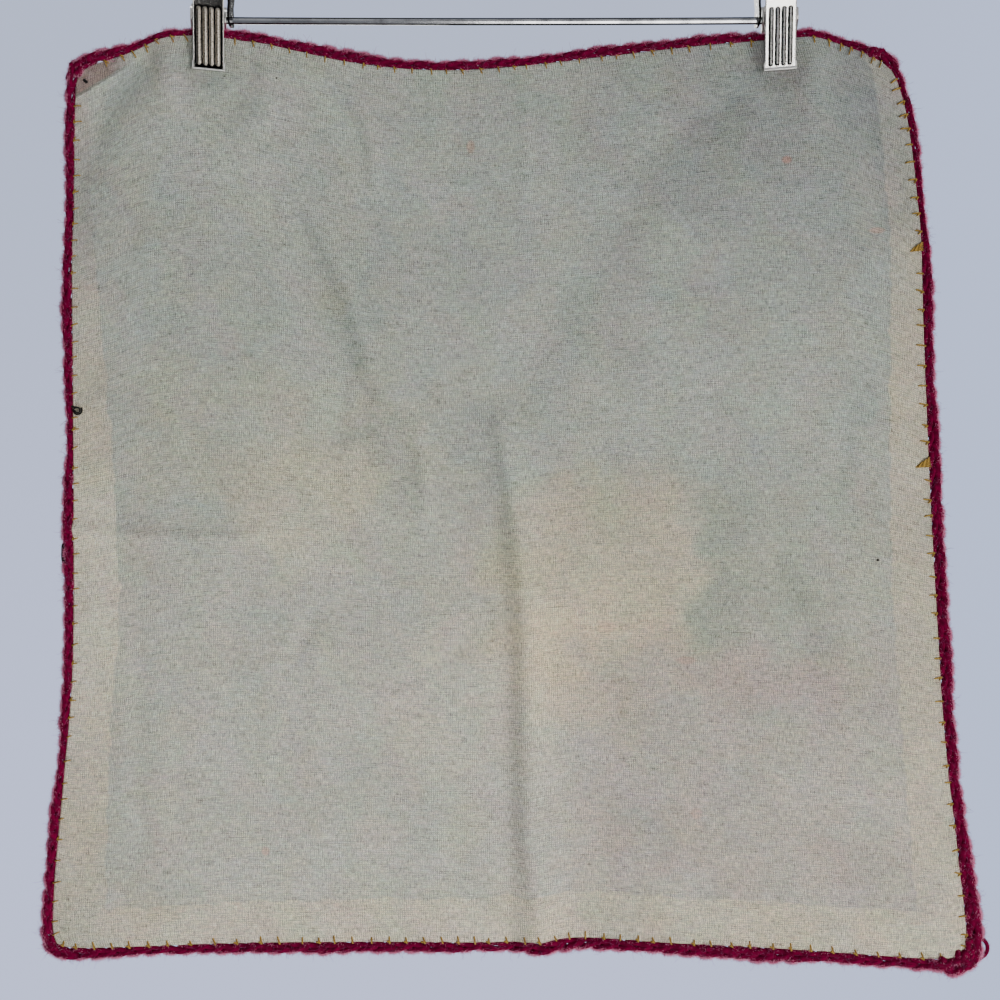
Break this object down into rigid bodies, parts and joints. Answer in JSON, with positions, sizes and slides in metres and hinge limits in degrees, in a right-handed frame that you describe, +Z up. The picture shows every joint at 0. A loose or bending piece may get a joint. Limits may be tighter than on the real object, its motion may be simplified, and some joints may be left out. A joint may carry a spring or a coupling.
{
  "type": "arpillera textile on a clip hanger",
  "caption": "Square hand-sewn cotton wall textile with a crochet wool edging, seen from its reverse and hung by its top edge from the clips of a wire hanger.",
  "frame": {"origin": "hang point, the top of the inside of the hook's bend, where it rests on a rail", "axes": "+Z up, +X to the viewer's right along the bar, -Y towards the viewer who sees the cloth's reverse side"},
  "size_m": [0.4651, 0.0265, 0.6254],
  "materials": {
    "cotton": "unbleached plain-weave cotton, soft and matt, tinted where the picture side shows through",
    "edging_wool": "fuzzy raspberry wool, crocheted chain",
    "stitch_thread": "mustard cotton thread, blanket stitch",
    "dark_thread": "black wool and thread",
    "hanger_chrome": "bright chrome-plated wire",
    "clip_nickel": "nickel-plated pressed steel"
  },
  "bodies": {
    "root": {"backing_cloth": "cotton", "crochet_edging": "edging_wool", "hanger_bar": "hanger_chrome", "drop_link_left": "clip_nickel", "drop_link_right": "clip_nickel", "hanger_frame": "hanger_chrome", "hanger_hook": "hanger_chrome", "clip_left_front_jaw": "clip_nickel", "clip_left_back_jaw": "clip_nickel", "clip_left_spring": "clip_nickel", "clip_right_front_jaw": "clip_nickel", "clip_right_back_jaw": "clip_nickel", "clip_right_spring": "clip_nickel"}
  },
  "joints": []
}
